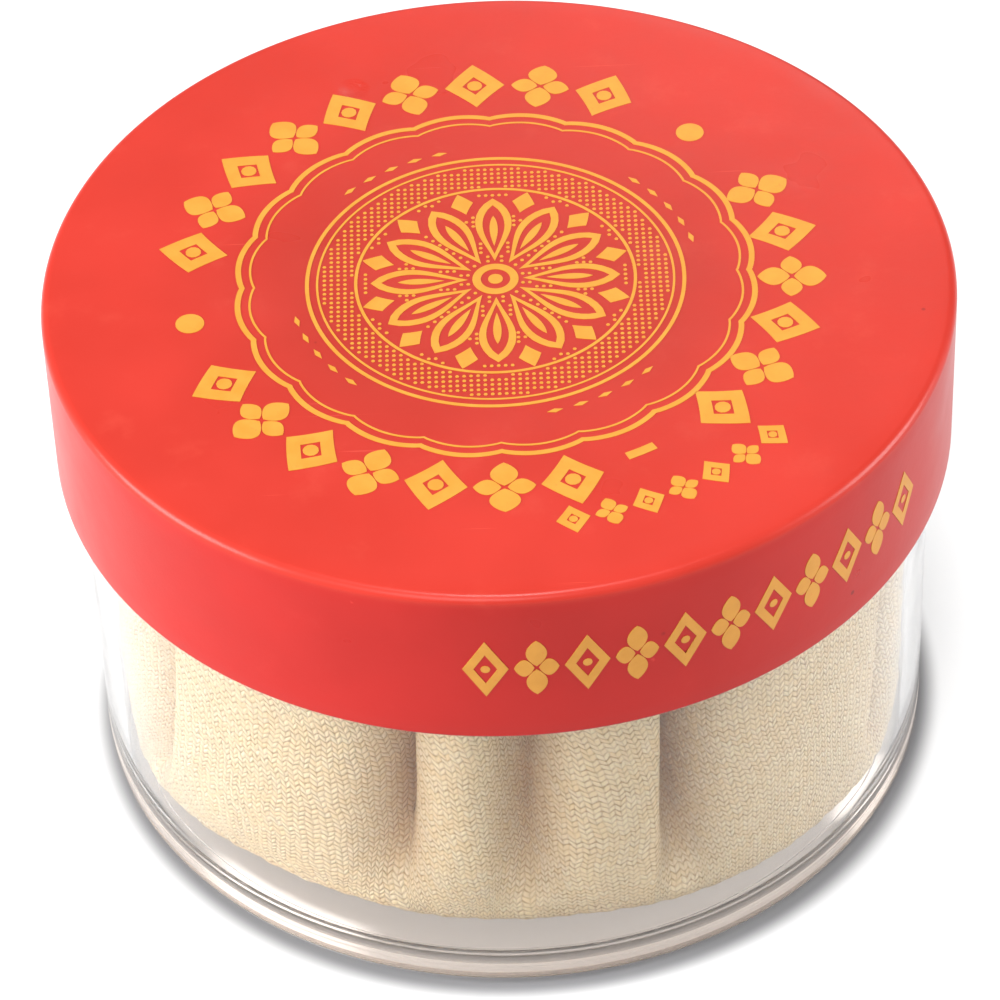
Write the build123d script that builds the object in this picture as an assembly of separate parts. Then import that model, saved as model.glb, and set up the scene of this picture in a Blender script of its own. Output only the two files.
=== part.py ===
"""Rosin cake in its jar: a slip-on lid, a clear jar, a knitted cloth and the cake bonded into it.

Millimetres. The origin is the centre of the jar's foot ring, +Z up the jar's axis. The jar stands
on z = 0 and the lid's top face is at z = TOTAL_HEIGHT. Every piece is drawn where it sits with the
lid on.
"""
import os
from math import cos, pi, radians, sin

from build123d import *

# ---------------------------------------------------------------- driving dimensions (mm)
TOTAL_HEIGHT = 33.5          # foot ring to lid top
LID_DIAMETER = 54.0

# lid
LID_HEIGHT = 11.0            # top face to the lower edge of the skirt
LID_DISC = 1.4               # thickness of the top disc
LID_BORE = 51.66             # bore of the skirt, a sliding fit over the jar's mouth
LID_SKIRT_DRAFT = 0.1        # the skirt is this much smaller in radius at its lower edge
LID_TOP_ROUND = 0.7
LID_EDGE_ROUND = 0.25        # lower outer edge of the skirt
LID_LEAD_IN = 0.35           # chamfer at the mouth of the bore

# jar
JAR_MOUTH_DIAMETER = 51.5    # 0.08 mm radial clearance inside the lid
JAR_FOOT_DIAMETER = 51.3
JAR_WALL = 1.0
JAR_FLOOR = 1.5              # height of the floor's upper face
JAR_RECESS = 0.4             # hollow under the floor, inside the foot ring
JAR_FOOT_RING = 2.0          # radial width of the foot ring
JAR_CORNER = 0.8             # outer bottom corner
JAR_INNER_CORNER = 1.0
JAR_RIM_ROUND = 0.35

# knitted cloth
CLOTH_THICKNESS = 0.8
CLOTH_FLOOR_GAP = 0.15       # bottom of the cloth above the jar's floor
CLOTH_FOOT_RADIUS = 22.9     # outside, where the cloth turns up round the cake
CLOTH_TURN = 2.4             # radius of that turn, outside
CLOTH_SHOULDER = 9.0         # height above the cloth's underside where it reaches the jar wall
CLOTH_TOP_RADIUS = 24.4      # outside, at the shoulder and above
CLOTH_HEIGHT = 27.0          # underside to the upper edge
PLEAT_COUNT = 9
PLEAT_DEPTH = 2.4            # how far a pleat's valley falls inside its ridge, at the upper edge

# rosin cake and the adhesive under it
CAKE_DIAMETER = 40.0
CAKE_DRAFT = 0.5             # the cake is this much smaller in radius at its foot
CAKE_THICKNESS = 15.0
CAKE_ROUND = 0.8
GLUE_THICKNESS = 0.15
GLUE_DIAMETER = 36.0


def jar_mouth_height():
    """Height of the jar's rim, where the lid's disc rests."""
    return TOTAL_HEIGHT - LID_DISC


def cloth_bottom():
    return JAR_FLOOR + CLOTH_FLOOR_GAP


def cake_bottom():
    return cloth_bottom() + CLOTH_THICKNESS + GLUE_THICKNESS


def turned(points):
    """Solid of revolution about the Z axis of a closed outline given as (radius, height)."""
    outline = make_face(Polyline(*[(r, 0, z) for r, z in points], close=True))
    return revolve(outline, axis=Axis.Z, revolution_arc=360)


def edges_at(solid, radius, height):
    """Circular edges centred on the axis with this radius at this height."""
    return [
        edge for edge in solid.edges().filter_by(GeomType.CIRCLE)
        if abs(edge.radius - radius) < 1e-3 and abs(edge.arc_center.Z - height) < 1e-3
    ]


def make_lid():
    """Moulded slip-on lid: flat disc with a plain skirt round it."""
    outer = LID_DIAMETER / 2
    bore = LID_BORE / 2
    top = TOTAL_HEIGHT
    skirt = top - LID_HEIGHT
    ceiling = jar_mouth_height()
    lid = turned([
        (0, ceiling), (bore, ceiling), (bore, skirt),
        (outer - LID_SKIRT_DRAFT, skirt), (outer, top), (0, top),
    ])
    lid = fillet(edges_at(lid, outer, top), LID_TOP_ROUND)
    lid = fillet(edges_at(lid, outer - LID_SKIRT_DRAFT, skirt), LID_EDGE_ROUND)
    return chamfer(edges_at(lid, bore, skirt), LID_LEAD_IN)


def make_jar():
    """Moulded clear jar: drafted wall, thick floor, shallow recess inside a foot ring."""
    foot = JAR_FOOT_DIAMETER / 2
    mouth = JAR_MOUTH_DIAMETER / 2
    rim = jar_mouth_height()
    jar = turned([
        (0, JAR_RECESS), (foot - JAR_FOOT_RING, JAR_RECESS), (foot - JAR_FOOT_RING, 0),
        (foot, 0), (mouth, rim), (mouth - JAR_WALL, rim),
        (foot - JAR_WALL, JAR_FLOOR), (0, JAR_FLOOR),
    ])
    jar = fillet(edges_at(jar, foot, 0), JAR_CORNER)
    jar = fillet(edges_at(jar, foot - JAR_WALL, JAR_FLOOR), JAR_INNER_CORNER)
    jar = fillet(edges_at(jar, mouth, rim), JAR_RIM_ROUND)
    return fillet(edges_at(jar, mouth - JAR_WALL, rim), JAR_RIM_ROUND)


def pleat_ring(radius, depth, height):
    """Closed curve round the axis whose valleys lie depth further in than its ridges."""
    steps = PLEAT_COUNT * 8
    points = []
    for step in range(steps):
        angle = 2 * pi * step / steps
        reach = radius - depth * (1 - cos(PLEAT_COUNT * angle)) / 2
        points.append((reach * cos(angle), reach * sin(angle), height))
    return Wire(Spline(*points, periodic=True))


def cloth_levels(inset):
    """(radius, pleat depth, height) up the cloth's outer face moved inwards by inset."""
    foot = cloth_bottom()
    levels = []
    for angle in (0, 30, 60, 90):
        turn = radians(angle)
        radius = CLOTH_FOOT_RADIUS - CLOTH_TURN + (CLOTH_TURN - inset) * sin(turn)
        levels.append((radius, 0, foot + CLOTH_TURN - (CLOTH_TURN - inset) * cos(turn)))
    wall = CLOTH_TOP_RADIUS - inset
    levels.append((wall, PLEAT_DEPTH * 0.4, foot + CLOTH_SHOULDER))
    levels.append((wall, PLEAT_DEPTH, foot + CLOTH_HEIGHT))
    return levels


def pleated_body(levels):
    return Solid.make_loft([pleat_ring(*level) for level in levels], ruled=True)


def make_cloth():
    """Knitted cloth drawn up round the cake: flat under it, pleated against the jar wall."""
    hollow = cloth_levels(CLOTH_THICKNESS)
    radius, depth, height = hollow[-1]
    hollow.append((radius, depth, height + CLOTH_THICKNESS))
    return pleated_body(cloth_levels(0)) - pleated_body(hollow)


def make_glue():
    """Film of adhesive that holds the cake to the cloth."""
    centre = cloth_bottom() + CLOTH_THICKNESS
    return Pos(0, 0, centre) * Cylinder(
        GLUE_DIAMETER / 2, GLUE_THICKNESS, align=(Align.CENTER, Align.CENTER, Align.MIN)
    )


def make_cake():
    """Cast cake of rosin, a little wider at its upper face."""
    low = cake_bottom()
    high = low + CAKE_THICKNESS
    foot = CAKE_DIAMETER / 2 - CAKE_DRAFT
    head = CAKE_DIAMETER / 2
    cake = turned([(0, low), (foot, low), (head, high), (0, high)])
    cake = fillet(edges_at(cake, head, high), CAKE_ROUND)
    return fillet(edges_at(cake, foot, low), CAKE_ROUND)


PIECES = {
    "lid": make_lid,
    "jar": make_jar,
    "wrapping_cloth": make_cloth,
    "glue_layer": make_glue,
    "rosin_cake": make_cake,
}

os.makedirs("parts", exist_ok=True)
for name, make in PIECES.items():
    export_step(make(), f"parts/{name}.step")
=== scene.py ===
"""Looks for the rosin cake in its jar: lid and its gold ornament, clear jar, pleated knitted cloth, cake.

Metres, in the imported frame: the origin is the centre of the jar's foot ring, +Z is up and -Y is the
front. An azimuth is in degrees from the front, positive towards +X. The cloth's path and its rows
are worked out in millimetres.
"""
import math

import bmesh
import bpy
import numpy as np
from mathutils import Matrix, Vector


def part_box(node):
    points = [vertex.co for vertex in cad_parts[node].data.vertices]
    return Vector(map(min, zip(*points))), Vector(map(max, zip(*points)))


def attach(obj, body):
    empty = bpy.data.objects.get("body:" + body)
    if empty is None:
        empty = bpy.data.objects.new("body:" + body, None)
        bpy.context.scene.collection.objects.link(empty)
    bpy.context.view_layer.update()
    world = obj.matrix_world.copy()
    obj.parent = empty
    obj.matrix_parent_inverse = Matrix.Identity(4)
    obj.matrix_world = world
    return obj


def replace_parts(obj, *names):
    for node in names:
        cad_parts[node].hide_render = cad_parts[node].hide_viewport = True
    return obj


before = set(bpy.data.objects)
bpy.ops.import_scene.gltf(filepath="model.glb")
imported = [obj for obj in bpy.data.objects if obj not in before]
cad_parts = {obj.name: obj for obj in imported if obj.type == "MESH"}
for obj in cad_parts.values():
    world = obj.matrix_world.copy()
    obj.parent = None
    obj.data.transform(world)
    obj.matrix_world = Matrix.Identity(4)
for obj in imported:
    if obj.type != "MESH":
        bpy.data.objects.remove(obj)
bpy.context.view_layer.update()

# ------------------------------------------------------------------ sizes and places
MM = 0.001
LID_LO, LID_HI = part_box("lid")
JAR_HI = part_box("jar")[1]
CLOTH_LO, CLOTH_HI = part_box("wrapping_cloth")
CAKE_LO, CAKE_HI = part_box("rosin_cake")

LID_TOP = LID_HI.z
LID_R = 27.0 * MM            # the fillet leaves the CAD box a few microns short of this
BORE_R = 25.83 * MM          # inside of the lid's skirt
# small marks on the lid (mm): a nick in the skirt, a shallow dent in the top
NICK = (9.95, -24.95, 27.1)
DENT = (-8.2, 18.6, 33.5)

INK = 0.025 * MM             # how far the print stands proud
SUNK = 0.02 * MM             # and how far its underside is let in

JAR_RIM = JAR_HI.z           # the lid's disc rests on it
JAR_MOUTH_R = JAR_HI.x
JAR_FOOT_R = 25.65 * MM
JAR_WALL = 1.0 * MM
JAR_FLOOR = 1.5 * MM         # height of the floor's upper face
JAR_RECESS = 0.4 * MM        # hollow under the floor
JAR_FOOT_RING = 2.0 * MM     # radial width of the foot ring
# shallow line round the wall, from the top down (mm): how far outside the foot's radius, and height
JAR_LINE = ((0.02, 2.2), (-0.03, 1.9), (0.03, 1.55))

WALE = 0.56 * MM             # the knit's pitch across its columns of stitches
COURSE = 0.45 * MM           # and along them
CLOTH_HALF = 0.4             # half of the cloth's thickness (mm)
CLOTH_TURN = 2.0             # radius of its turn at the foot (mm)
CLOTH_WALL = 24.1            # radius of the pleats' ridges against the jar (mm)
# Radius of the cloth's turn at the foot (azimuth, mm): flattened in front, pushed out at the sides.
CLOTH_FOOT = (
    (-180, 23.4), (-110, 23.9), (-62, 23.8), (-44, 22.9), (-30, 22.5), (8, 22.5),
    (20, 23.0), (34, 23.5), (60, 23.9), (110, 23.7), (180, 23.4),
)
# Path of the cloth round the cake high on the wall: (flat angle, azimuth, centreline radius in mm).
# Where the azimuth runs back the cloth lies over itself in a knife pleat.
FRONT_PATH = (
    (-97, -103, 23.6), (-88, -90, 24.0), (-79, -76, 24.05), (-72, -63, 23.7), (-68.5, -55, 22.7),
    (-66.3, -48.5, 21.6), (-64.6, -45.6, 21.0), (-62.9, -45.4, 21.3), (-61.4, -47.2, 22.3),
    (-60.0, -49.8, 23.3), (-59.0, -50.8, 23.85), (-57.6, -49.4, 24.15),
    (-50, -41.5, 24.15), (-40, -31, 24.1), (-31, -24, 23.7), (-26, -19.6, 22.8), (-21.6, -16.4, 21.4),
    (-19, -14.9, 20.75), (-17.4, -14.0, 20.6), (-16.0, -13.5, 21.5), (-14.7, -13.4, 22.4),
    (-13.4, -12.7, 23.0), (-11.6, -10.9, 23.55), (-9.4, -8.7, 23.95), (-7.4, -6.6, 24.05),
    (-5.4, -4.4, 23.55), (-3.2, -1.8, 22.4), (-0.6, 0.9, 21.5), (1.6, 2.8, 21.4), (3.6, 4.6, 22.1),
    (5.8, 6.6, 23.0), (8.2, 8.9, 23.75), (11.2, 11.8, 24.1), (14.6, 15.4, 24.1), (17.4, 18.3, 23.85),
    (18.9, 19.6, 23.4), (20.2, 19.6, 22.4), (21.6, 19.5, 21.4), (23, 20.5, 20.7), (24.8, 22.8, 20.7),
    (26.8, 25.0, 21.6), (29.0, 27.6, 22.9), (31.8, 31.2, 23.8), (36, 36, 24.1), (43, 45, 24.15),
    (50, 54, 24.1), (55.5, 60.0, 24.1), (57.4, 62.0, 23.8), (58.6, 62.7, 23.0), (60.0, 62.2, 22.1),
    (61.6, 62.4, 21.6), (63.4, 64.2, 21.9), (65.6, 66.6, 23.0), (68.2, 69.4, 23.85),
    (72, 73.4, 24.15), (82, 83, 24.05),
)
# The pleats behind are alike: (flat angle, azimuth) from the first to the end of the last one.
BACK_START, BACK_END = (84.0, 86.0), (263.0, 257.0)
BACK_PLEATS = 5
SHEET_STEPS = 720            # points round the cloth


# ------------------------------------------------------------------ mesh helpers
def new_object(name, mesh, body, material, smooth=True):
    obj = bpy.data.objects.new(name, mesh)
    bpy.context.scene.collection.objects.link(obj)
    mesh.materials.append(material)
    if smooth:
        mesh.polygons.foreach_set("use_smooth", [True] * len(mesh.polygons))
    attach(obj, body)
    return obj


def mesh_from(bm, name):
    """The finished bmesh as a mesh, its faces turned outwards."""
    bmesh.ops.recalc_face_normals(bm, faces=bm.faces)
    mesh = bpy.data.meshes.new(name)
    bm.to_mesh(mesh)
    bm.free()
    return mesh


def rounded(corners, steps=8):
    """Outline in (radius, height) from corners (r, z, fillet radius); both ends have a fillet of 0."""
    out = []
    for i, (r, z, fillet) in enumerate(corners):
        corner = Vector((r, z))
        if fillet <= 0:
            out.append(corner)
            continue
        before = (Vector(corners[i - 1][:2]) - corner).normalized()
        after = (Vector(corners[i + 1][:2]) - corner).normalized()
        half = before.angle(after) / 2
        reach = fillet / math.tan(half)
        centre = corner + (before + after).normalized() * (fillet / math.sin(half))
        start = corner + before * reach - centre
        end = corner + after * reach - centre
        turn = start.angle(end)
        for k in range(steps + 1):
            done = k / steps * turn
            spoke = start * math.sin(turn - done) + end * math.sin(done)
            out.append(centre + spoke / math.sin(turn))
    return out


def split(outline, longest):
    """The outline with its long straight runs divided."""
    out = [outline[0]]
    for p in outline[1:]:
        start = out[-1]
        n = max(1, math.ceil((p - start).length / longest))
        out += [start.lerp(p, k / n) for k in range(1, n + 1)]
    return out


def lathe(name, outline, segments=256):
    """Closed mesh turned from an outline that starts and ends on the axis."""
    bm = bmesh.new()
    angles = [2 * math.pi * k / segments for k in range(segments)]
    first = bm.verts.new((0, 0, outline[0].y))
    rings = [
        [bm.verts.new((p.x * math.sin(a), -p.x * math.cos(a), p.y)) for a in angles]
        for p in outline[1:-1]
    ]
    last = bm.verts.new((0, 0, outline[-1].y))
    for k in range(segments):
        bm.faces.new((first, rings[0][k], rings[0][k - 1]))
        for low, high in zip(rings, rings[1:]):
            bm.faces.new((low[k - 1], low[k], high[k], high[k - 1]))
        bm.faces.new((rings[-1][k - 1], rings[-1][k], last))
    return mesh_from(bm, name)


# ------------------------------------------------------------------ node helpers
class Nodes:
    """A short way to build one node material."""

    def __init__(self, name):
        self.material = bpy.data.materials.new(name)
        self.material.use_nodes = True
        self.tree = self.material.node_tree
        self.tree.nodes.clear()
        self.out = self.new("OutputMaterial")
        self.bsdf = self.new("BsdfPrincipled")
        self.link(self.bsdf.outputs[0], self.out.inputs["Surface"])

    def new(self, kind):
        return self.tree.nodes.new("ShaderNode" + kind)

    def link(self, a, b):
        self.tree.links.new(a, b)

    def put(self, node, socket, value):
        target = node.inputs[socket]
        if isinstance(value, bpy.types.NodeSocket):
            self.link(value, target)
        else:
            target.default_value = value

    def set(self, **values):
        """Principled inputs by name, with _ for a space."""
        for key, value in values.items():
            self.put(self.bsdf, key.replace("_", " "), value)

    def math(self, op, a, b=0.0):
        node = self.new("Math")
        node.operation = op
        self.put(node, 0, a)
        self.put(node, 1, b)
        return node.outputs[0]

    def plus(self, a, b):
        return self.math("ADD", a, b)

    def minus(self, a, b):
        return self.math("SUBTRACT", a, b)

    def times(self, a, b):
        return self.math("MULTIPLY", a, b)

    def most(self, a, b):
        return self.math("MAXIMUM", a, b)

    def vector(self, op, a, b=(0, 0, 0)):
        node = self.new("VectorMath")
        node.operation = op
        self.put(node, 0, a)
        self.put(node, 1, b)
        number = op in ("LENGTH", "DISTANCE", "DOT_PRODUCT")
        return node.outputs["Value"] if number else node.outputs[0]

    def flat(self, coords):
        """The coordinates without their height."""
        return self.vector("MULTIPLY", coords, (1, 1, 0))

    def from_axis(self, coords):
        return self.vector("LENGTH", self.flat(coords))

    def coords(self, kind="Object"):
        return self.new("TexCoord").outputs[kind]

    def scaled(self, coords, scale):
        node = self.new("Mapping")
        self.put(node, "Vector", coords)
        self.put(node, "Scale", scale)
        return node.outputs[0]

    def split(self, coords):
        node = self.new("SeparateXYZ")
        self.put(node, 0, coords)
        return node.outputs

    def join(self, x, y):
        node = self.new("CombineXYZ")
        self.put(node, 0, x)
        self.put(node, 1, y)
        return node.outputs[0]

    def attribute(self, name):
        node = self.new("Attribute")
        node.attribute_name = name
        return node.outputs["Fac"]

    def noise(self, coords, scale, detail=2.0, rough=0.5):
        node = self.new("TexNoise")
        self.put(node, "Vector", coords)
        self.put(node, "Scale", scale)
        self.put(node, "Detail", detail)
        self.put(node, "Roughness", rough)
        return node.outputs[0]

    def sway(self, coords, scale, detail, size):
        """Noise either side of zero, size from trough to crest."""
        return self.times(self.minus(self.noise(coords, scale, detail), 0.5), size)

    def chance(self, cell):
        """A random number for each whole-numbered cell."""
        node = self.new("TexWhiteNoise")
        node.noise_dimensions = "2D"
        self.put(node, "Vector", cell)
        return node.outputs["Value"]

    def voronoi(self, coords, scale):
        node = self.new("TexVoronoi")
        self.put(node, "Vector", coords)
        self.put(node, "Scale", scale)
        return node.outputs["Distance"]

    def ramp(self, value, low, high, to_low=0.0, to_high=1.0):
        node = self.new("MapRange")
        node.interpolation_type = "SMOOTHSTEP"
        self.put(node, "Value", value)
        self.put(node, "From Min", low)
        self.put(node, "From Max", high)
        self.put(node, "To Min", to_low)
        self.put(node, "To Max", to_high)
        return node.outputs[0]

    def bulge(self, value, scale, power):
        """1 where value times scale is 1, falling to 0 where it is 0 or 2."""
        away = self.math("ABSOLUTE", self.minus(self.times(value, scale), 1.0))
        return self.minus(1.0, self.math("POWER", away, power))

    def near(self, coords, place, inner, outer):
        """1 within inner of a place, fading to 0 at outer, all in millimetres."""
        away = self.vector("DISTANCE", coords, tuple(c * MM for c in place))
        return self.ramp(away, inner * MM, outer * MM, 1.0, 0.0)

    def mix(self, factor, a, b, blend="MIX"):
        node = self.new("Mix")
        node.data_type = "RGBA"
        node.blend_type = blend
        self.put(node, 0, factor)
        self.put(node, 6, a)
        self.put(node, 7, b)
        return node.outputs[2]

    def tinted(self, factor, colour, tint):
        """The colour multiplied by a tint where factor is 1."""
        return self.mix(factor, colour, self.mix(1.0, colour, tint, "MULTIPLY"))

    def bump(self, height, strength, distance, below=None):
        node = self.new("Bump")
        self.put(node, "Height", height)
        self.put(node, "Strength", strength)
        self.put(node, "Distance", distance)
        if below is not None:
            self.put(node, "Normal", below)
        return node.outputs[0]


def rgb(r, g, b):
    """Linear colour from 0-255 display values."""
    def linear(v):
        v /= 255
        return v / 12.92 if v <= 0.04045 else ((v + 0.055) / 1.055) ** 2.4
    return (linear(r), linear(g), linear(b), 1.0)


# ------------------------------------------------------------------ materials
def lid_material():
    """Red moulded plastic, faintly mottled, with rubs, fine scratches, specks, a nick and a dent."""
    n = Nodes("lid_red_plastic")
    p = n.coords()
    mottle = n.noise(p, 140, 3)
    colour = n.mix(n.ramp(mottle, 0.3, 0.7), rgb(147, 37, 28), rgb(152, 39, 30))
    rub = n.ramp(n.noise(p, 260, 6, 0.65), 0.56, 0.74)
    colour = n.mix(n.times(rub, 0.10), colour, rgb(180, 78, 62))

    speck = n.ramp(n.voronoi(p, 210), 0.035, 0.05, 1, 0)
    sparse = n.ramp(n.noise(p, 90, 1), 0.55, 0.6)
    colour = n.mix(n.times(n.times(speck, sparse), 0.7), colour, rgb(84, 12, 16))

    scratch = n.ramp(n.noise(n.scaled(p, (60, 2600, 900)), 1, 3, 0.6), 0.70, 0.76)
    in_places = n.ramp(n.noise(p, 55, 2), 0.45, 0.62)
    scratch = n.times(scratch, in_places)
    colour = n.mix(n.times(scratch, 0.3), colour, rgb(236, 110, 92))

    ragged = n.vector("ADD", p, n.vector("MULTIPLY", n.noise(p, 1800, 3), (0.5 * MM,) * 3))
    nick = n.near(ragged, NICK, 0.18, 0.42)
    dent = n.near(ragged, DENT, 0.3, 1.1)
    colour = n.mix(n.times(nick, 0.75), colour, rgb(96, 16, 30))

    # painted shade: the middle of the top is coloured a little darker than its rim
    middle = n.ramp(n.from_axis(p), 9 * MM, 22.5 * MM, 1.0, 0.0)
    middle = n.times(middle, n.ramp(n.noise(p, 60, 3), 0.3, 0.7, 0.7, 1.0))
    colour = n.tinted(middle, colour, (0.80, 0.95, 0.98, 1))
    # painted shade: the skirt is coloured a darker, more crimson red than the top
    skirt = n.ramp(n.split(p)[2], LID_TOP - 0.9 * MM, LID_TOP - 0.3 * MM, 1.0, 0.0)
    colour = n.tinted(skirt, colour, (0.90, 0.52, 0.62, 1))

    rough = n.plus(n.ramp(mottle, 0.2, 0.8, 0.27, 0.35), n.times(scratch, 0.2))
    fine = n.noise(p, 3200, 2)
    marks = n.times(n.plus(nick, n.times(dent, 0.6)), -1.0)
    normal = n.bump(n.noise(p, 180, 2), 0.25, 0.2 * MM)
    normal = n.bump(n.minus(fine, n.times(scratch, 1.4)), 0.12, 0.03 * MM, normal)
    normal = n.bump(marks, 0.6, 0.2 * MM, normal)
    n.set(Base_Color=colour, Roughness=rough, Normal=normal, IOR=1.5, Specular_IOR_Level=0.14)
    return n.material


def ink_material():
    """Gold-yellow screen print, a little thin and rubbed in places."""
    n = Nodes("gold_ink")
    p = n.coords()
    cover = n.noise(p, 900, 4, 0.6)
    colour = n.mix(n.ramp(cover, 0.3, 0.7), rgb(158, 106, 26), rgb(165, 113, 34))
    worn = n.ramp(n.noise(p, 2200, 4, 0.7), 0.62, 0.75)
    colour = n.mix(n.times(worn, 0.3), colour, rgb(168, 60, 28))
    n.set(Base_Color=colour, Roughness=n.ramp(cover, 0.2, 0.8, 0.38, 0.5),
          Normal=n.bump(cover, 0.15, 0.03 * MM), Specular_IOR_Level=0.35)
    return n.material


def jar_material():
    """Clear plastic with a few rubs on it; its foot and lip are scuffed and hazy, its underside frosted."""
    n = Nodes("clear_polystyrene")
    p = n.coords()
    height = n.split(p)[2]
    foot = n.ramp(height, 0.9 * MM, 1.6 * MM, 1.0, 0.0)
    outside = n.ramp(n.from_axis(p), 25.1 * MM, 25.4 * MM)
    scuff = n.times(outside, n.ramp(height, 1.8 * MM, 2.7 * MM, 0.75, 0.0))
    lip = n.ramp(height, JAR_RIM - 0.75 * MM, JAR_RIM - 0.4 * MM, 0.0, 0.8)
    haze = n.most(n.most(foot, scuff), lip)
    colour = n.mix(haze, (0.985, 0.982, 0.98, 1), rgb(200, 186, 175))

    rub = n.ramp(n.noise(p, 300, 5, 0.7), 0.62, 0.8)
    frost = n.ramp(height, 0.45 * MM, 0.7 * MM, 0.5, 0.0)
    rough = n.plus(n.times(rub, 0.06), n.most(frost, n.times(haze, 0.10)))
    normal = n.bump(n.noise(p, 120, 2), 0.06, 0.2 * MM)
    n.set(Base_Color=colour, Roughness=rough, Transmission_Weight=n.ramp(haze, 0, 1, 1.0, 0.74),
          IOR=1.59, Normal=normal, Specular_Tint=(0.35, 0.35, 0.35, 1))

    depth = n.new("VolumeAbsorption")
    n.put(depth, "Color", (0.2, 0.19, 0.17, 1))
    n.put(depth, "Density", 55.0)
    n.link(depth.outputs[0], n.out.inputs["Volume"])
    return n.material


def knit_material():
    """Plain knitted cotton. The UV map is in metres on the cloth: u across the wales, v along them."""
    n = Nodes("knitted_cotton")
    u, v, _ = n.split(n.coords("UV"))
    p = n.coords()
    # the wales wander and lean, and each stitch is pulled a little out of place
    wander = n.sway(p, 150, 1, 3.0)
    jog_u = n.sway(p, 900, 2, 0.55)
    jog_v = n.sway(n.vector("ADD", p, (0.1, 0.2, 0.3)), 800, 2, 0.9)
    course = n.math("DIVIDE", v, COURSE)
    wale = n.plus(n.math("DIVIDE", u, WALE), n.plus(jog_u, wander))
    across = n.plus(wale, n.times(course, 0.10))
    along = n.plus(course, jog_v)

    # a stitch is a V: two plump legs that slant to meet in the middle of the wale
    side = n.math("ABSOLUTE", n.minus(n.math("FRACT", across), 0.5))
    slant = n.minus(along, n.times(side, 1.3))
    leg = n.math("FRACT", slant)
    ridge = n.bulge(leg, 2.0, 2.0)
    plump = n.bulge(side, 4.0, 2.2)
    loop = n.times(ridge, n.plus(n.times(plump, 0.65), 0.35))

    # every stitch has a shade of its own, and the yarn has fibres along it and fuzz on it
    odd = n.chance(n.join(n.math("FLOOR", across), n.math("FLOOR", slant)))
    fibre = n.noise(n.join(n.times(across, 3.0), n.times(leg, 12.0)), 2.4, 4, 0.75)
    fuzz = n.noise(p, 5200, 3, 0.7)
    yarn = n.mix(odd, rgb(249, 219, 168), rgb(255, 233, 192))
    yarn = n.mix(n.times(n.ramp(fibre, 0.35, 0.7), 0.4), yarn, rgb(255, 243, 214))

    # painted shade: the gaps between the legs are coloured darker, more so in some places than in others
    unshaded_yarn = n.ramp(n.plus(loop, n.times(n.minus(fuzz, 0.5), 0.6)), -0.2, 0.8)
    gap_shade_strength = n.ramp(n.noise(n.vector("ADD", p, (0.3, 0.1, 0.2)), 1500, 3, 0.7), 0.3, 0.7, 0.3, 0.9)
    unshaded_yarn = n.minus(1.0, n.times(n.minus(1.0, unshaded_yarn), gap_shade_strength))
    colour = n.mix(unshaded_yarn, rgb(168, 120, 62), yarn)
    # painted shade: deep in a fold the cloth is coloured darker and warmer
    colour = n.mix(n.times(n.attribute("fold_shade"), 0.80), colour, rgb(150, 91, 34))

    stitches = n.times(loop, n.plus(0.7, n.times(odd, 0.5)))
    height = n.plus(stitches, n.plus(n.times(fibre, 0.25), n.times(fuzz, 0.35)))
    n.set(Base_Color=colour, Roughness=0.95, Normal=n.bump(height, 0.8, 0.18 * MM),
          Sheen_Weight=0.03, Sheen_Roughness=0.5, Subsurface_Weight=0.05, Subsurface_Scale=0.6 * MM,
          Subsurface_Radius=(1.0, 0.6, 0.3), Specular_IOR_Level=0.05)
    return n.material


def rosin_material():
    """Cast rosin: clear amber, dusted and finely crazed where the bow has rubbed it."""
    n = Nodes("amber_rosin")
    p = n.coords()
    flow = n.noise(p, 90, 3, 0.6)
    dust = n.ramp(n.noise(p, 420, 6, 0.7), 0.5, 0.72)
    lines = n.ramp(n.noise(n.scaled(p, (2400, 90, 300)), 1, 3, 0.6), 0.62, 0.74)
    colour = n.mix(flow, rgb(214, 120, 26), rgb(240, 160, 52))
    colour = n.mix(n.times(dust, 0.35), colour, rgb(246, 220, 170))
    rough = n.plus(n.times(dust, 0.3), n.plus(0.08, n.times(lines, 0.2)))
    normal = n.bump(n.minus(flow, n.times(lines, 0.2)), 0.3, 0.3 * MM)
    n.set(Base_Color=colour, Roughness=rough, Transmission_Weight=0.55, IOR=1.54, Normal=normal)
    return n.material


def glue_material():
    """Dried clear adhesive with small bubbles."""
    n = Nodes("dried_adhesive")
    bubble = n.ramp(n.voronoi(n.coords(), 700), 0.1, 0.3)
    colour = n.mix(bubble, rgb(246, 236, 206), rgb(226, 206, 158))
    n.set(Base_Color=colour, Roughness=n.ramp(bubble, 0, 1, 0.2, 0.4), Transmission_Weight=0.6,
          IOR=1.48, Normal=n.bump(bubble, 0.3, 0.1 * MM))
    return n.material


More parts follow.
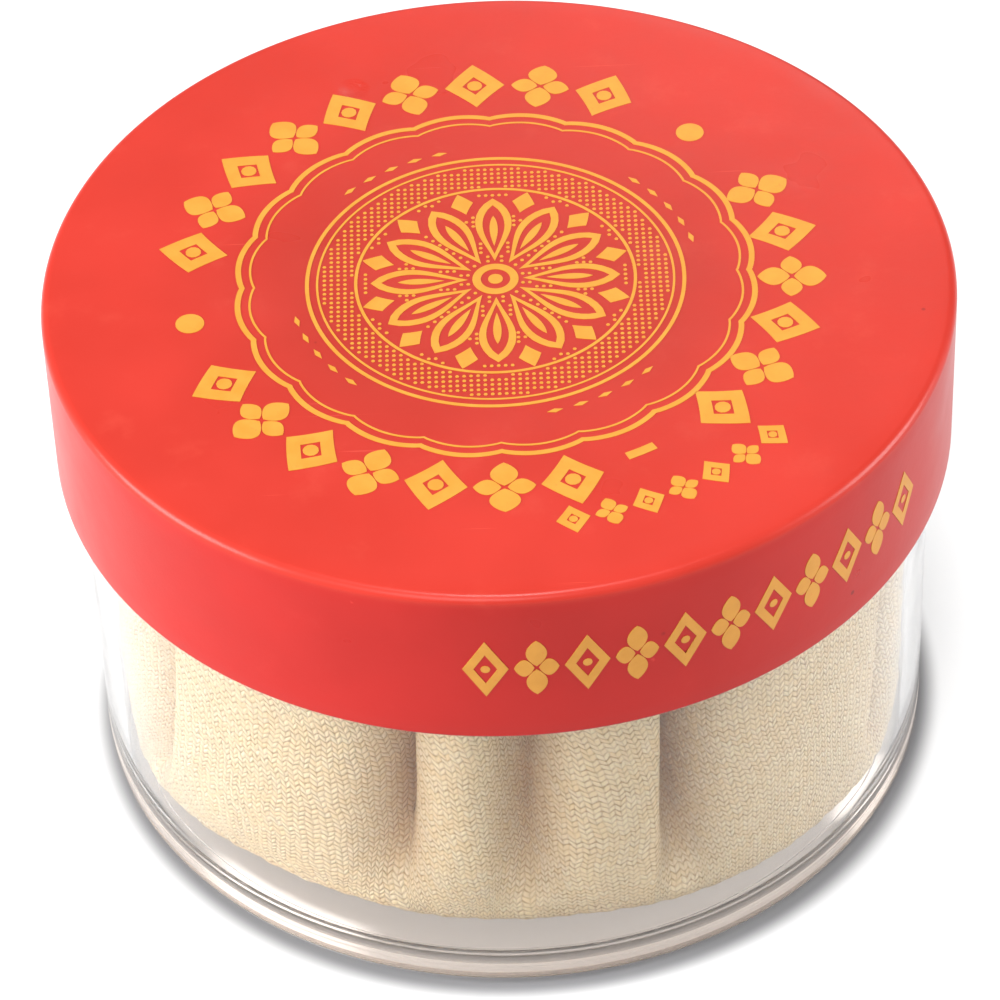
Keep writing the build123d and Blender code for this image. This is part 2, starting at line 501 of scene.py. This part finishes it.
def floor_material():
    """Pale light table with painted light: brightest under the jar, and a painted shadow in the crevice
    where the foot meets it.
    """
    n = Nodes("pale_floor")
    p = n.coords()
    # painted contact shadow round the foot, dark and dim in the crevice, a little wider in front than at the
    # back
    shifted = n.vector("ADD", n.flat(p), (-0.18 * MM, 0.45 * MM, 0))
    clear_of_painted_shadow = n.ramp(n.vector("LENGTH", shifted), 25.4 * MM, 27.0 * MM)
    # painted light: the table glows brighter under the jar, inside the foot ring
    under = n.ramp(n.from_axis(p), 24.5 * MM, 25.4 * MM, 1.0, 0.0)
    pale = n.mix(n.noise(p, 30, 2), rgb(163, 163, 164), rgb(166, 166, 166))
    # painted shadow: outside the foot the crevice is coloured dark grey and glows less
    colour = n.mix(n.most(clear_of_painted_shadow, under), rgb(112, 112, 114), pale)
    glow = n.plus(n.times(clear_of_painted_shadow, 0.34), n.times(under, 0.85))

    # Clear plastic focuses the side lamps into bright arcs under the foot ring. The renderer doesn't
    # do that, so the table carries the arcs: the azimuth of each one's middle, and its half width.
    foot_ring = n.times(under, n.ramp(n.from_axis(p), 22.4 * MM, 23.4 * MM))
    for azimuth, reach in ((-37, 17), (62, 9)):
        a = math.radians(azimuth)
        middle = (math.sin(a), -math.cos(a), 0)
        facing = n.vector("DOT_PRODUCT", n.vector("NORMALIZE", n.flat(p)), middle)
        arc = n.ramp(facing, math.cos(math.radians(reach)), math.cos(math.radians(reach * 0.4)))
        glow = n.plus(glow, n.times(n.times(arc, foot_ring), 2.3))
    n.set(Base_Color=colour, Roughness=0.9, Specular_IOR_Level=0.2,
          Emission_Color=(1, 1, 1, 1), Emission_Strength=n.plus(glow, 0.02))
    return n.material


# ------------------------------------------------------------------ lid and jar
def build_lid(material):
    skirt, lead_in = LID_LO.z, 0.35 * MM
    outline = rounded([
        (0, JAR_RIM, 0), (BORE_R, JAR_RIM, 0.4 * MM), (BORE_R, skirt + lead_in, 0.2 * MM),
        (BORE_R + lead_in, skirt, 0.12 * MM), (LID_R, skirt, 0.25 * MM),
        (LID_R, LID_TOP, 0.55 * MM), (0, LID_TOP, 0),
    ])
    mesh = lathe("lid_moulded", split(outline, 1.2 * MM))
    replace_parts(new_object("lid_moulded", mesh, "lid", material), "lid")


def build_jar(material):
    inner_foot = JAR_FOOT_R - JAR_FOOT_RING
    outline = rounded([
        (0, JAR_FLOOR, 0), (JAR_FOOT_R - JAR_WALL, JAR_FLOOR, 1.1 * MM),
        (JAR_MOUTH_R - JAR_WALL, JAR_RIM, 0.35 * MM), (JAR_MOUTH_R, JAR_RIM, 0.35 * MM),
        *((JAR_FOOT_R + out * MM, height * MM, 0.5 * MM) for out, height in JAR_LINE),
        (JAR_FOOT_R, 0, 0.8 * MM), (inner_foot, 0, 0.15 * MM),
        (inner_foot, JAR_RECESS, 0.15 * MM), (0, JAR_RECESS, 0),
    ])
    mesh = lathe("jar_moulded", split(outline, 1.6 * MM), 320)
    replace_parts(new_object("jar_moulded", mesh, "jar", material), "jar")


# ------------------------------------------------------------------ gold ornament
class Print:
    """Closed flat shapes laid on a surface given by place(x, y, height)."""

    def __init__(self, place):
        self.bm = bmesh.new()
        self.place = place

    def loop(self, points, height):
        return [self.bm.verts.new(self.place(x, y, height)) for x, y in points]

    def fan(self, loop, centre):
        for k in range(len(loop)):
            self.bm.faces.new((loop[k - 1], loop[k], centre))

    def draw(self, outer, inner=None):
        """The shape inside an outline, or the band between two outlines with as many points."""
        top, low = self.loop(outer, INK), self.loop(outer, -SUNK)
        if inner is None:
            middle = [tuple(sum(values) / len(outer) for values in zip(*outer))]
            self.fan(top, *self.loop(middle, INK))
            self.fan(low[::-1], *self.loop(middle, -SUNK))
            sides = [(low, top)]
        else:
            inner_top, inner_low = self.loop(inner, INK), self.loop(inner, -SUNK)
            sides = [(low, top), (top, inner_top), (inner_top, inner_low), (inner_low, low)]
        for a, b in sides:
            for k in range(len(a)):
                self.bm.faces.new((a[k - 1], a[k], b[k], b[k - 1]))

    def finish(self, name, material):
        new_object(name, mesh_from(self.bm, name), "lid", material, smooth=False)


def circle(x, y, radius, count):
    angles = [2 * math.pi * k / count for k in range(count)]
    return [(x + radius * math.cos(a), y + radius * math.sin(a)) for a in angles]


def lozenge(width, height, steps=5):
    """Points round a diamond, each side in steps."""
    corners = [(width / 2, 0), (0, height / 2), (-width / 2, 0), (0, -height / 2)]
    out = []
    for (ax, ay), (bx, by) in zip(corners, corners[1:] + corners[:1]):
        out += [(ax + (bx - ax) * k / steps, ay + (by - ay) * k / steps) for k in range(steps)]
    return out


def bar(width, height):
    """Points round an oblong."""
    x, y = width / 2, height / 2
    return [(-x, -y), (0, -y), (x, -y), (x, y), (0, y), (-x, y)]


def leaf(width, height, steps=12):
    """Points round an upright pointed leaf."""
    right = []
    for k in range(steps):
        up = k / steps
        right.append((width / 2 * math.sin(math.pi * up) ** 0.8, height * (up - 0.5)))
    return right + [(-x, -y) for x, y in right]


def flower(width, height):
    """Outlines of four petals round a point."""
    up = [(x, y + height * 0.26) for x, y in leaf(width * 0.46, height * 0.46)]
    side = [(y + width * 0.27, x) for x, y in leaf(height * 0.30, width * 0.44)]
    return [up, [(-x, -y) for x, y in up], side, [(-x, -y) for x, y in side]]


def scallop(radius, wave, lobes, count=480):
    """Points round a border of lobes that swell outwards by wave."""
    out = []
    for k in range(count):
        a = 2 * math.pi * k / count
        r = radius + wave * abs(math.sin(lobes / 2 * a)) ** 0.8
        out.append((r * math.cos(a), r * math.sin(a)))
    return out


def on_top(angle, radius):
    """Moves a shape's outline to a place on the lid's top; its x then runs clockwise, its y outwards."""
    middle = math.radians(angle)

    def put(points):
        out = []
        for x, y in points:
            a = middle - x / radius
            out.append(((radius + y) * math.cos(a), (radius + y) * math.sin(a)))
        return out

    return put


def on_skirt(along):
    """Moves a shape's outline along the skirt."""
    def put(points):
        return [(along + x, y) for x, y in points]

    return put


def motif(ink, put, index, width, height, line):
    """An open lozenge with a bead in it, or a four-petalled flower, in turn."""
    if index % 2:
        for petal in flower(width, height):
            ink.draw(put(petal))
        return
    inner = lozenge(width - line * 2.5, height - line * 2.5 * height / width)
    ink.draw(put(lozenge(width, height)), put(inner))
    ink.draw(put(circle(0, 0, line * 0.55, 12)))


def motif_arc(ink, start, end, count, radius, width, height, line):
    """Motifs spread evenly along an arc of the top."""
    for k in range(count):
        angle = start + (end - start) * (k + 0.5) / count
        motif(ink, on_top(angle, radius), k, width, height, line)


def draw_circle_line(ink, radius, line, count):
    ink.draw(circle(0, 0, radius + line / 2, count), circle(0, 0, radius - line / 2, count))


def draw_border(ink):
    """Two rings, a double scalloped border, and small lozenges between them in four groups."""
    for radius, line in ((0.408, 0.0085), (0.386, 0.005)):
        draw_circle_line(ink, radius, line, 160)
    for radius, line in ((0.548, 0.0125), (0.522, 0.005)):
        ink.draw(scallop(radius + line / 2, 0.014, 20), scallop(radius - line / 2, 0.014, 20))
    for group in range(4):
        for k in range(2, 7):
            ink.draw(on_top(90 * group + 7.5 * k, 0.444)(lozenge(0.035, 0.012, 2)))


def draw_rosette(ink):
    """Twelve open petals with a vein each, gems between them, a ringed bead, and a ring round it all."""
    for k in range(12):
        petal = on_top(30 * k, 0.165)
        ink.draw(petal(leaf(0.074, 0.21)), petal(leaf(0.046, 0.165)))
        ink.draw(petal([(x, y * 0.5 - 0.004) for x, y in leaf(0.018, 0.2)]))
        ink.draw(on_top(30 * k + 15, 0.262)(lozenge(0.05, 0.07)))
    ink.draw(circle(0, 0, 0.05, 40), circle(0, 0, 0.032, 40))
    ink.draw(circle(0, 0, 0.016, 20))
    ink.draw(circle(0, 0, 0.306, 120), circle(0, 0, 0.299, 120))


def dotted(x, y):
    """True where there is a dot: in a band outside the rosette's ring, and inside it clear of the shapes."""
    away = math.hypot(x, y)
    if 0.312 < away < 0.376:
        return True
    angle = math.degrees(math.atan2(y, x)) % 30
    off_petal = min(angle, 30 - angle)
    in_petal = 0.05 < away < 0.28 and off_petal < 15 - abs(away - 0.165) * 62
    in_gem = away > 0.215 and abs(angle - 15) < 8
    return 0.06 < away < 0.292 and not in_petal and not in_gem


def draw_dots(ink, pitch=0.0148):
    reach = int(0.38 / pitch) + 1
    for i in range(-reach, reach + 1):
        for j in range(-reach, reach + 1):
            if dotted(i * pitch, j * pitch):
                ink.draw(circle(i * pitch, j * pitch, pitch * 0.29, 6))


def build_top_print(material):
    """The ornament on the lid's top, drawn round its centre with the lid's radius as the unit."""
    unit = 1.01 * LID_R
    centre_x, centre_y = -0.15 * MM, -0.05 * MM
    ink = Print(lambda x, y, height: (x * unit + centre_x, y * unit + centre_y, LID_TOP + height))
    draw_border(ink)
    draw_rosette(ink)
    draw_dots(ink)
    # the lines of ornament round the top: start, end, count, radius, and a motif's width, height, line
    motif_arc(ink, 175.5, 60.8, 9, 0.668, 0.134, 0.152, 0.031)
    motif_arc(ink, 201.5, 289.0, 7, 0.658, 0.134, 0.152, 0.031)
    motif_arc(ink, 310.0, 391.5, 6, 0.640, 0.134, 0.152, 0.031)
    motif_arc(ink, 277.5, 320.0, 7, 0.774, 0.072, 0.082, 0.017)
    # and the two dots and the dash between them
    for angle, radius in ((189.4, 0.668), (46.8, 0.650)):
        a = math.radians(angle)
        ink.draw(circle(radius * math.cos(a), radius * math.sin(a), 0.031, 32))
    ink.draw(on_top(297.2, 0.634)(bar(0.066, 0.022)))
    ink.finish("top_print", material)


def build_skirt_print(material):
    """A row of open lozenges and flowers round the right of the skirt's front."""
    tall = LID_HI.z - LID_LO.z
    middle = LID_LO.z + tall * 0.505

    def place(x, y, height):
        azimuth = x / LID_R
        radius = LID_R + height
        return (radius * math.sin(azimuth), -radius * math.cos(azimuth), middle + y)

    ink = Print(place)
    count, start, end = 11, -6.3, 60.8
    for k in range(count):
        azimuth = math.radians(start + (end - start) * (k + 0.5) / count)
        motif(ink, on_skirt(azimuth * LID_R), k, 2.6 * MM, 0.39 * tall, 0.5 * MM)
    ink.finish("skirt_print", material)


# ------------------------------------------------------------------ knitted cloth
def smooth_loop(points, count, steps=12):
    """count places evenly along the closed Catmull-Rom curve through the points, and its length."""
    lap = np.array((360, 360, 0))
    pts = np.array(points, float)
    pts = np.vstack([pts[-1:] - lap, pts, pts[:2] + lap])
    curve = []
    for p0, p1, p2, p3 in zip(pts, pts[1:], pts[2:], pts[3:]):
        square = 2 * p0 - 5 * p1 + 4 * p2 - p3
        cube = 3 * p1 - p0 - 3 * p2 + p3
        for k in range(steps):
            t = k / steps
            curve.append(p1 + 0.5 * ((p2 - p0) * t + square * t ** 2 + cube * t ** 3))
    curve.append(curve[0] + lap)
    flat, azimuth, radius = np.array(curve).T
    x, y = radius * np.sin(np.radians(azimuth)), -radius * np.cos(np.radians(azimuth))
    length = np.concatenate([[0], np.cumsum(np.hypot(np.diff(x), np.diff(y)))])
    at = np.linspace(0, length[-1], count, endpoint=False)
    return [np.interp(at, length, values) for values in (flat, azimuth, radius)], length[-1]


def cloth_path():
    """Flat angles, azimuths and radii (mm) evenly along the cloth's path, and the path's length."""
    points = list(FRONT_PATH)
    flat_pitch, azimuth_pitch = ((end - start) / BACK_PLEATS for start, end in zip(BACK_START, BACK_END))
    for k in range(BACK_PLEATS):
        flat, azimuth = BACK_START[0] + flat_pitch * k, BACK_START[1] + azimuth_pitch * k
        deep = 21.3 + 0.25 * math.sin(2.3 * k)
        # one knife pleat: shares of the pleat's flat angle and of its azimuth, and the radius
        pleat = ((0.10, 0.12, 24.05), (0.30, 0.42, 24.1), (0.47, 0.66, 23.9), (0.55, 0.74, 23.4),
                 (0.62, 0.72, 22.6), (0.70, 0.62, 22.1), (0.76, 0.60, deep), (0.84, 0.72, deep),
                 (0.93, 0.90, 22.9))
        points += [(flat + u * flat_pitch, azimuth + a * azimuth_pitch, r) for u, a, r in pleat]
    return smooth_loop(points, SHEET_STEPS)


def foot_radius(azimuth):
    """Radius in mm of the cloth's turn, with a slight unevenness."""
    a = (azimuth + 180) % 360 - 180
    uneven = sum(np.sin(np.radians(times * a + ahead)) for times, ahead in ((19, 0), (61, 40), (113, 0)))
    return np.interp(a, *zip(*CLOTH_FOOT)) - 0.06 + 0.03 * uneven


def cloth_rows(flat, azimuth, radius):
    """Rows of the sheet from its middle outwards (mm): azimuths, radii, height, share of pleating."""
    base = CLOTH_LO.z / MM + CLOTH_HALF
    foot = foot_radius(flat)
    rows = [(flat, (foot - CLOTH_TURN) * share, base, 0.0)
            for share in (0.06, 0.2, 0.36, 0.52, 0.66, 0.78, 0.88, 0.95)]
    for k in range(7):
        a = math.radians(90 * k / 6)
        rows.append((flat, foot - CLOTH_TURN + CLOTH_TURN * math.sin(a),
                     base + CLOTH_TURN * (1 - math.cos(a)), 0.0))
    # up the wall the pleats deepen within a few millimetres and the cloth leans over into them
    levels = 40
    wall_height = CLOTH_HI.z / MM - 0.2 - base - CLOTH_TURN
    for k in range(1, levels + 1):
        rise = wall_height * k / levels
        pleated = 1 - math.exp(-(rise / 4.6) ** 1.4)
        lean = 1 - math.exp(-(rise / 9.0) ** 1.2)
        ridge = CLOTH_WALL - (CLOTH_WALL - foot) * math.exp(-rise / 3.2)
        depth = (CLOTH_WALL - radius) * pleated * (1 + 0.012 * max(0, rise - 12))
        rows.append((flat + (azimuth - flat) * lean * 1.03, ridge - depth,
                     base + CLOTH_TURN + rise, pleated))
    return rows


def slackened(verts):
    """Places (mm) drawn in a little here and there, as in a cloth folded by hand."""
    x, _, z = np.moveaxis(verts, -1, 0)
    wave = np.sin(x * 0.41 + 1.3) * np.sin(z * 0.33) * 0.10
    scale = 1 - np.clip(wave, 0, 1) * 0.02
    return verts * np.stack([scale, scale, np.ones_like(scale)], -1)


def build_cloth(material):
    """One sheet: flat under the cake, turned up round it, pleats deepening up the wall."""
    (flat, azimuth, radius), length = cloth_path()
    rows = cloth_rows(flat, azimuth, radius)
    verts = np.array([
        np.stack([r * np.sin(np.radians(a)), -r * np.cos(np.radians(a)), np.full(SHEET_STEPS, z)], 1)
        for a, r, z, _ in rows
    ])
    verts = slackened(verts) * MM
    first_wall_row = next(i for i, row in enumerate(rows) if row[2] > rows[0][2])

    # the UV map runs flat under the cake, then along and up the wall
    profile = [(np.mean(r), z) for _, r, z, _ in rows]
    steps_up = [math.dist(a, b) for a, b in zip(profile, profile[1:])]
    up = np.concatenate([[0], np.cumsum(steps_up)]) * MM
    around = np.linspace(0, length * 0.90, SHEET_STEPS + 1) * MM

    def uv_flat(row, k):
        return tuple(verts[row, k % SHEET_STEPS, :2])

    def uv_wall(row, k):
        return (around[k], up[row])

    bm = bmesh.new()
    layer = bm.loops.layers.uv.new("cloth")
    centre = bm.verts.new((0, 0, verts[0, 0, 2]))
    grid = [[bm.verts.new(place) for place in row] for row in verts]
    for k in range(SHEET_STEPS):
        ahead = (k + 1) % SHEET_STEPS
        face = bm.faces.new((centre, grid[0][ahead], grid[0][k]))
        for loop, uv in zip(face.loops, ((0, 0), uv_flat(0, k + 1), uv_flat(0, k))):
            loop[layer].uv = uv
        for i in range(len(rows) - 1):
            face = bm.faces.new((grid[i][k], grid[i][ahead], grid[i + 1][ahead], grid[i + 1][k]))
            uv = uv_flat if i + 2 < first_wall_row else uv_wall
            for loop, (row, step) in zip(face.loops, ((i, k), (i, k + 1), (i + 1, k + 1), (i + 1, k))):
                loop[layer].uv = uv(row, step)
    mesh = mesh_from(bm, "knitted_cloth")
    # how deep in a fold each point lies, for the painted fold shade
    fold_shade_rows = [np.clip((23.7 - radius) / 2.7, 0, 1) * pleated for *_, pleated in rows]
    fold_shade = mesh.attributes.new("fold_shade", "FLOAT", "POINT")
    fold_shade.data.foreach_set("value", np.concatenate([[0], *fold_shade_rows]).astype(np.float32))

    obj = new_object("knitted_cloth", mesh, "cake", material)
    solid = obj.modifiers.new("thickness", "SOLIDIFY")
    solid.thickness = 2 * CLOTH_HALF * MM
    solid.offset = 0
    solid.use_even_offset = False
    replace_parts(obj, "wrapping_cloth")


# ------------------------------------------------------------------ cake and adhesive
def build_cake(material):
    """Cast disc, narrower at its foot, its upper face slightly sunk and uneven."""
    low, high, radius = CAKE_LO.z, CAKE_HI.z, CAKE_HI.x
    outline = rounded([
        (0, low, 0), (radius - 0.45 * MM, low, 0.8 * MM), (radius, high, 0.9 * MM),
        (radius - 2.2 * MM, high - 0.02 * MM, 3 * MM), (0, high - 0.35 * MM, 0),
    ])
    mesh = lathe("rosin_cast", split(outline, 0.9 * MM), 192)
    for v in mesh.vertices:
        if v.co.z > (low + high) / 2:
            swell = math.sin(v.co.x * 310 + 0.7) * math.sin(v.co.y * 270 + 1.9)
            v.co.z -= 0.06 * MM * abs(swell)
    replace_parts(new_object("rosin_cast", mesh, "cake", material), "rosin_cake")


def colour_glue(material):
    """The film of adhesive keeps its CAD shape."""
    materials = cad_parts["glue_layer"].data.materials
    materials.clear()
    materials.append(material)


# ------------------------------------------------------------------ stage, lights, camera
def build_stage(material):
    """A table just under the foot ring, so that the two faces don't coincide."""
    half, gap = 6.0, 0.02 * MM
    mesh = bpy.data.meshes.new("floor")
    corners = [(-half, -half, 0), (half, -half, 0), (half, half, 0), (-half, half, 0)]
    mesh.from_pydata(corners, [], [(0, 1, 2, 3)])
    mesh.materials.append(material)
    floor = bpy.data.objects.new("floor", mesh)
    floor.location.z = -gap
    bpy.context.scene.collection.objects.link(floor)


def area_light(name, azimuth, elevation, width, height, power):
    """An elliptical softbox 0.7 m from the jar's middle, facing it."""
    distance, aim = 0.7, Vector((0, 0, 0.02))
    light = bpy.data.lights.new(name, "AREA")
    light.shape = "ELLIPSE"
    light.size, light.size_y = width, height
    light.energy = power
    obj = bpy.data.objects.new(name, light)
    a, e = math.radians(azimuth), math.radians(elevation)
    direction = Vector((math.sin(a) * math.cos(e), -math.cos(a) * math.cos(e), math.sin(e)))
    obj.location = aim + direction * distance
    obj.rotation_euler = direction.to_track_quat("Z", "Y").to_euler()
    bpy.context.scene.collection.objects.link(obj)


def build_lights():
    world = bpy.data.worlds.new("studio")
    bpy.context.scene.world = world
    world.use_nodes = True
    background = world.node_tree.nodes["Background"]
    background.inputs["Color"].default_value = (1, 1, 1, 1)
    background.inputs["Strength"].default_value = 0.46
    area_light("left_box", -78, 20, 0.5, 0.42, 12.6)
    area_light("right_box", 92, 18, 0.4, 0.42, 6.8)
    area_light("front_box", -14, 42, 0.4, 0.4, 4.0)
    area_light("top_box", 0, 88, 0.18, 0.18, 3.8)
    area_light("rear_box", 173, 32.5, 0.16, 0.08, 0.36)


def build_camera():
    """Long lens in front, 41 degrees above the lid's centre, aimed below it and rolled a little."""
    distance = 11 * LID_R
    rise, drop, roll, yaw = (math.radians(angle) for angle in (40.84, 2.52, -2.228, 0.10))
    data = bpy.data.cameras.new("camera")
    data.sensor_width = 36
    data.lens = 181.2
    data.clip_start, data.clip_end = 0.01, 50
    data.dof.use_dof = False
    camera = bpy.data.objects.new("camera", data)
    camera.location = Vector((0, 0, LID_TOP)) + distance * Vector((0, -math.cos(rise), math.sin(rise)))
    tilt = rise + drop
    forward = Vector((-math.sin(yaw) * math.cos(tilt), math.cos(yaw) * math.cos(tilt), -math.sin(tilt)))
    level = forward.cross(Vector((0, 0, 1))).normalized()
    upright = level.cross(forward)
    right = math.cos(roll) * level + math.sin(roll) * upright
    up = -math.sin(roll) * level + math.cos(roll) * upright
    camera.rotation_euler = Matrix((right, up, -forward)).transposed().to_euler()
    bpy.context.scene.collection.objects.link(camera)
    bpy.context.scene.camera = camera


build_lid(lid_material())
build_jar(jar_material())
gold = ink_material()
build_top_print(gold)
build_skirt_print(gold)
build_cloth(knit_material())
build_cake(rosin_material())
colour_glue(glue_material())
build_stage(floor_material())
build_lights()
build_camera()
bpy.context.scene.view_settings.view_transform = "Standard"

bpy.context.view_layer.update()
